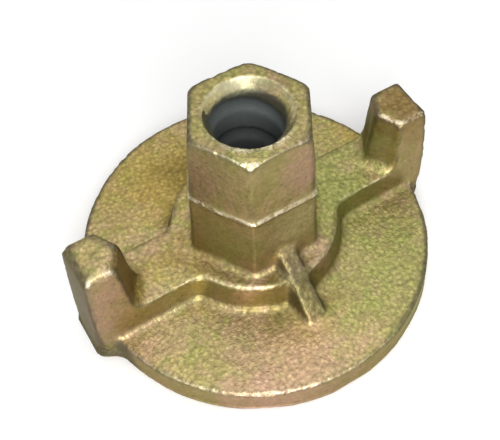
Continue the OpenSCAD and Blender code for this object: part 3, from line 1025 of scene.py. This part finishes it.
# Blooms of the passivated film, as a colour of the finish, the bloom's middle, its reach in millimetres and
# its strength. Later ones lie over earlier ones. Some rows are not film: those in the two darkest colours
# paint shade, and those in the pale wall colour paint light onto walls that lie in shade.
BLOOMS = (
    ("ochre", (-14, 30, 8), 28, 0.7),
    ("ochre", (-24, -1, 16), 14, 0.6),
    ("ochre", (42, 14, 8), 16, 0.7),
    ("green", (22, 10, 12), 26, 0.5),
    ("green", (20, -4, 16), 18, 0.9),
    ("green", (24, -28, 8), 32, 0.65),
    ("green", (-29, -26, 8), 15, 0.35),
    ("ochre", (-5, -28, 8), 14, 0.6),
    # These two rows darken the pad's front wall as painted shade.
    ("streak", (0, -22, 12), 12, 0.9),
    ("pits_and_shade", (0, -21, 13), 8, 0.6),
    ("ochre", (-7, 25, 9), 16, 0.9),
    ("pits_and_shade", (-6, 25, 9), 15, 0.75),
    ("pits_and_shade", (-17, 15, 9), 6, 0.6),
    ("pits_and_shade", (-25, 3, 16), 12, 0.25),
    ("pits_and_shade", (-14, -17, 13), 7, 0.4),
    ("green", (0, 0, 58), 22, 0.7),
    ("pits_and_shade", (0, 0, 58), 20, 0.45),
    ("pink", (-25, 9, 16), 10, 0.5),
    ("pink", (-13, -24, 8), 15, 0.5),
    ("pink", (-36, -12, 8), 12, 0.6),
    ("pink", (-6, -38, 8), 15, 0.6),
    ("pink", (-10, -17, 16), 7, 0.7),
    ("pink", (8, -17, 16), 8, 0.6),
    ("pink", (-22, -42, 3), 20, 0.9),
    ("rose", (-47, -9, 18), 15, 0.9),
    ("rose", (6, -14, 48), 12, 0.9),
    ("rose", (-13, -1, 45), 10, 0.8),
    ("streak", (-29, -9, 12), 12, 0.8),
    ("rose", (-43, -8, 27), 9, 0.7),
    ("rose", (8, 3, 54), 6, 0.8),
    ("pits_and_shade", (-12, -7, 45), 12, 0.3),
    ("rust", (43, 0, 33), 14, 1.0),
    ("pits_and_shade", (43, 0, 33), 12, 0.4),
    # Green that also lightens the +X lug's inner facet as painted light.
    ("green", (36, 0, 24), 9, 0.8),
    ("green", (-11, -9, 25), 13, 0.5),
    # These two rows lighten the lower boss's front wall as painted light.
    ("gold", (3, -14, 28), 13, 0.7),
    ("pale", (3, -14, 28), 13, 0.4),
    ("pale", (-29, -9, 12), 11, 0.3),
    ("pale", (36, -3, 23), 8, 0.3),
    # Painted shade on the +X lug's inner facet on the +Y side.
    ("painted_shade", (37, 6, 25), 8, 1.0),
    ("green", (40, 6, 24), 8, 0.4),
    ("rust", (-1, -17, 22), 8, 0.7),
    # Painted shade on the front rib near the boss.
    ("painted_shade", (0, -19, 17), 8, 0.4),
    # These two rows darken the pad's front wall as painted shade.
    ("streak", (-8, -22, 11), 10, 0.9),
    ("pits_and_shade", (-8, -21, 13), 7, 0.4),
    ("streak", (-38, -9, 12), 8, 0.8),
)


# Tint of what the film mirrors at a glancing angle, which keeps its edges from shining white.
DIM_EDGE = (0.55, 0.52, 0.45, 1.0)


def plated_iron(finish):
    """Yellow-passivated zinc over cast iron: gold with blooms of green, pink, ochre and rust, and with
    blooms of painted shade and painted light; darker on the walls, partly as painted shade; rubbed bright
    and given a painted highlight along the edges that face the lamps, painted shade along the others;
    bright where it was turned, partly as a painted highlight; painted shade in the inner corners; blue-grey
    in the bore; painted glints among the grain's specks; and the sand's finest grain as bump."""
    material = bpy.data.materials.new("plated_iron")
    shader = Shader(material)
    f = millimetres(finish)
    place = shader.place()
    upward, wear_and_glint, painted_shade, hollow, bare, turned = (
        shader.attribute(name) for name in ("upward", "wear_and_glint", "painted_shade", "hollow", "bare", "turned")
    )
    upright = 1 - upward
    speck = shader.noise(place, f["speck_size"], 2.0, 0.6)
    grains = shader.grains(place, f["crystal_size"])

    green = shader.patches((31, 7, 3), f["green_size"], 0.42, 0.66)
    film = shader.mix(green * f["green_share"], solid(finish.gold), solid(finish.green))
    pink = shader.patches((5, 47, 19), f["pink_size"], 0.42, 0.66)
    film = shader.mix(pink * f["pink_share"], film, solid(finish.pink))
    streaks = shader.noise(shader.place((3, 9, 1), (1, 1, 0.35)), f["streak_size"], 3.0, 0.6)
    wall = shader.mix(shader.ease(streaks, 0.4, 0.62), solid(finish.wall), solid(finish.streak))
    # Walls darker and browner, partly as painted shade.
    film = shader.mix(upright * f["wall_share"], film, wall)
    stirred = shader.stirred(6, 20)
    for tone, middle, reach, strength in BLOOMS:
        bloom = shader.bloom(stirred, middle, reach) * strength
        film = shader.mix(bloom, film, solid(getattr(finish, tone)))
    pits = shader.patches((7, 13, 23), f["speck_size"], 0.6, 0.7) * upright
    film = shader.mix(pits * f["pit_share"], film, solid(finish.pits_and_shade))
    # Painted shade in the inner corners.
    film = shader.mix(hollow * f["grime_share"], film, solid(finish.pits_and_shade))
    # Painted shade on the edges that face away from the lamps.
    film = shader.mix(painted_shade * f["tarnish_share"], film, solid(finish.painted_shade))
    # The turned mouth, bright partly as a painted highlight.
    film = shader.mix(turned * f["turned_share"], film, solid(finish.turned))
    # Bright edges in stretches and specks: partly rubbed zinc, partly a painted highlight.
    stretches = shader.ease(shader.noise(shader.place((11, 3, 29)), f["patch_size"], 2.0), 0.4, 0.6)
    rubbed_and_glint = wear_and_glint * (0.3 + stretches * 0.7)
    rubbed_and_glint = shader.maths("MULTIPLY", rubbed_and_glint, shader.ease(speck, 0.34, 0.52), clamp=True)
    film = shader.mix(rubbed_and_glint * f["worn_share"], film, solid(finish.wear_and_glint))
    film = shader.mix(bare, film, solid(finish.bore))

    smooth = shader.maths("MAXIMUM", bare, turned * f["turned_share"])
    contrast = (1.35 - smooth) * (0.4 + upward * 0.6)
    # Specks and round grains lighten and darken the colour: partly the grain's own tone, partly painted
    # glints.
    light = (speck - 0.5) * 0.8 + (grains * grains - 0.3) * 0.5
    tone = shader.node("ShaderNodeHueSaturation", inputs={"Value": 1 + light * contrast, "Color": film})

    coarse = shader.noise(place, f["coarse_size"], 2.0, 0.6)
    fine = shader.noise(place, f["fine_size"], 1.0, 0.5)
    height = coarse * 0.6 + grains * 0.3 + fine * 0.15
    height = height * (0.45 + upward * 0.55) * (1 - smooth * 0.7)
    bump = shader.node(
        "ShaderNodeBump", inputs={"Strength": 1.0, "Distance": finish.grain, "Height": height}
    )
    surface = shader.node(
        "ShaderNodeBsdfPrincipled",
        inputs={
            "Base Color": tone,
            "Metallic": finish.metallic + turned * 0.1 - bare * 0.5,
            "Roughness": finish.roughness - rubbed_and_glint * 0.1 - turned * 0.08,
            "Specular Tint": DIM_EDGE,
            "Normal": bump,
        },
    )
    shader.finish("ShaderNodeOutputMaterial", surface)
    return material


# ---- studio ----


# Lamps, as a name, a place, the point it faces, the side of its square and its power, in metres and watts.
LAMPS = (
    ("key", (-0.17, -0.36, 0.46), (0, 0, 0.02), 0.34, 2.6),
    ("low_front", (-0.24, -0.44, 0.06), (0, 0, 0.05), 0.16, 1.0),
    ("back", (0.07, 0.12, 0.62), (0, 0, 0.02), 0.3, 0.72),
)
WORLD_LEVEL = 0.5
FLOOR_HALF = 3.0
FLOOR_TONE = (0.98, 0.98, 0.98, 1.0)


def floor_material():
    """Pale matt floor."""
    material = bpy.data.materials.new("studio_floor")
    shader = Shader(material)
    surface = shader.node("ShaderNodeBsdfPrincipled", inputs={"Base Color": FLOOR_TONE, "Roughness": 0.9})
    shader.finish("ShaderNodeOutputMaterial", surface)
    return material


def white_world(scene, strength):
    """World of soft white light, which the camera, mirrors and glass see as plain white."""
    world = bpy.data.worlds.new("studio")
    shader = Shader(world)
    seen = shader.light_path("Is Camera Ray") + shader.light_path("Is Glossy Ray")
    seen = shader.maths("ADD", seen, shader.light_path("Is Transmission Ray"), clamp=True)
    level = strength + seen * (1 - strength)
    light = shader.node("ShaderNodeBackground", inputs={"Color": (1.0, 1.0, 1.0, 1.0), "Strength": level})
    shader.finish("ShaderNodeOutputWorld", light)
    scene.world = world


def softbox(scene, name, place, aim, size, power):
    """Square area lamp at a place, turned towards the aim."""
    lamp = bpy.data.lights.new(name, "AREA")
    lamp.size = size
    lamp.energy = power
    box = bpy.data.objects.new(name, lamp)
    box.location = place
    box.rotation_euler = (Vector(aim) - Vector(place)).to_track_quat("-Z", "Y").to_euler()
    scene.collection.objects.link(box)


class WINGNUT_OT_stage(bpy.types.Operator):
    """Set up the studio: pale floor, soft lamps, white surroundings and the camera"""

    bl_idname = "wingnut.stage"
    bl_label = "Set up the studio"

    def execute(self, context):
        scene = context.scene
        stage = scene.wing_nut_stage
        corners = FLOOR_HALF * np.array([[-1, -1, 0], [1, -1, 0], [1, 1, 0], [-1, 1, 0]])
        plane = new_mesh("studio_floor", corners, np.array([[0, 1, 2, 3]]))
        floor = bpy.data.objects.new("studio_floor", plane)
        floor.data.materials.append(floor_material())
        scene.collection.objects.link(floor)
        white_world(scene, WORLD_LEVEL)
        for lamp in LAMPS:
            softbox(scene, *lamp)

        view = bpy.data.cameras.new("camera")
        view.lens = stage.lens
        view.sensor_width = 36.0
        view.clip_start = 0.005
        azimuth, elevation, roll = stage.azimuth, stage.elevation, stage.roll
        level = math.cos(elevation)
        back = Vector((math.sin(azimuth) * level, -math.cos(azimuth) * level, math.sin(elevation)))
        right = Vector((math.cos(azimuth), math.sin(azimuth), 0))
        up = back.cross(right)
        across = right * math.cos(roll) + up * math.sin(roll)
        upright = up * math.cos(roll) - right * math.sin(roll)
        camera = bpy.data.objects.new("camera", view)
        facing = Matrix((across, upright, back)).transposed().to_4x4()
        camera.matrix_world = Matrix.Translation(Vector(stage.target) + back * stage.distance) @ facing
        scene.collection.objects.link(camera)
        scene.camera = camera
        scene.view_settings.view_transform = "Standard"
        return {"FINISHED"}


class WINGNUT_PT_panel(bpy.types.Panel):
    """Lists the wing nut's pieces and the studio"""

    bl_label = "Wing nut"
    bl_idname = "WINGNUT_PT_panel"
    bl_space_type = "VIEW_3D"
    bl_region_type = "UI"
    bl_category = "Wing nut"

    def draw(self, context):
        for operator in (WINGNUT_OT_casting, WINGNUT_OT_stage):
            self.layout.operator(operator.bl_idname)
        for group in ("wing_nut_sizes", "wing_nut_finish", "wing_nut_stage"):
            settings = getattr(context.scene, group)
            box = self.layout.box()
            for name in type(settings).__annotations__:
                box.prop(settings, name)


CLASSES = (
    WingNutSizes,
    WingNutFinish,
    WingNutStage,
    WINGNUT_OT_casting,
    WINGNUT_OT_stage,
    WINGNUT_PT_panel,
)


def register():
    for each in CLASSES:
        bpy.utils.register_class(each)
    bpy.types.Scene.wing_nut_sizes = PointerProperty(type=WingNutSizes)
    bpy.types.Scene.wing_nut_finish = PointerProperty(type=WingNutFinish)
    bpy.types.Scene.wing_nut_stage = PointerProperty(type=WingNutStage)


def unregister():
    del bpy.types.Scene.wing_nut_stage
    del bpy.types.Scene.wing_nut_finish
    del bpy.types.Scene.wing_nut_sizes
    for each in reversed(CLASSES):
        bpy.utils.unregister_class(each)


def main():
    """Registers the add-on and builds everything in order."""
    register()
    bpy.ops.wingnut.casting()
    bpy.ops.wingnut.stage()


if __name__ == "__main__":
    main()
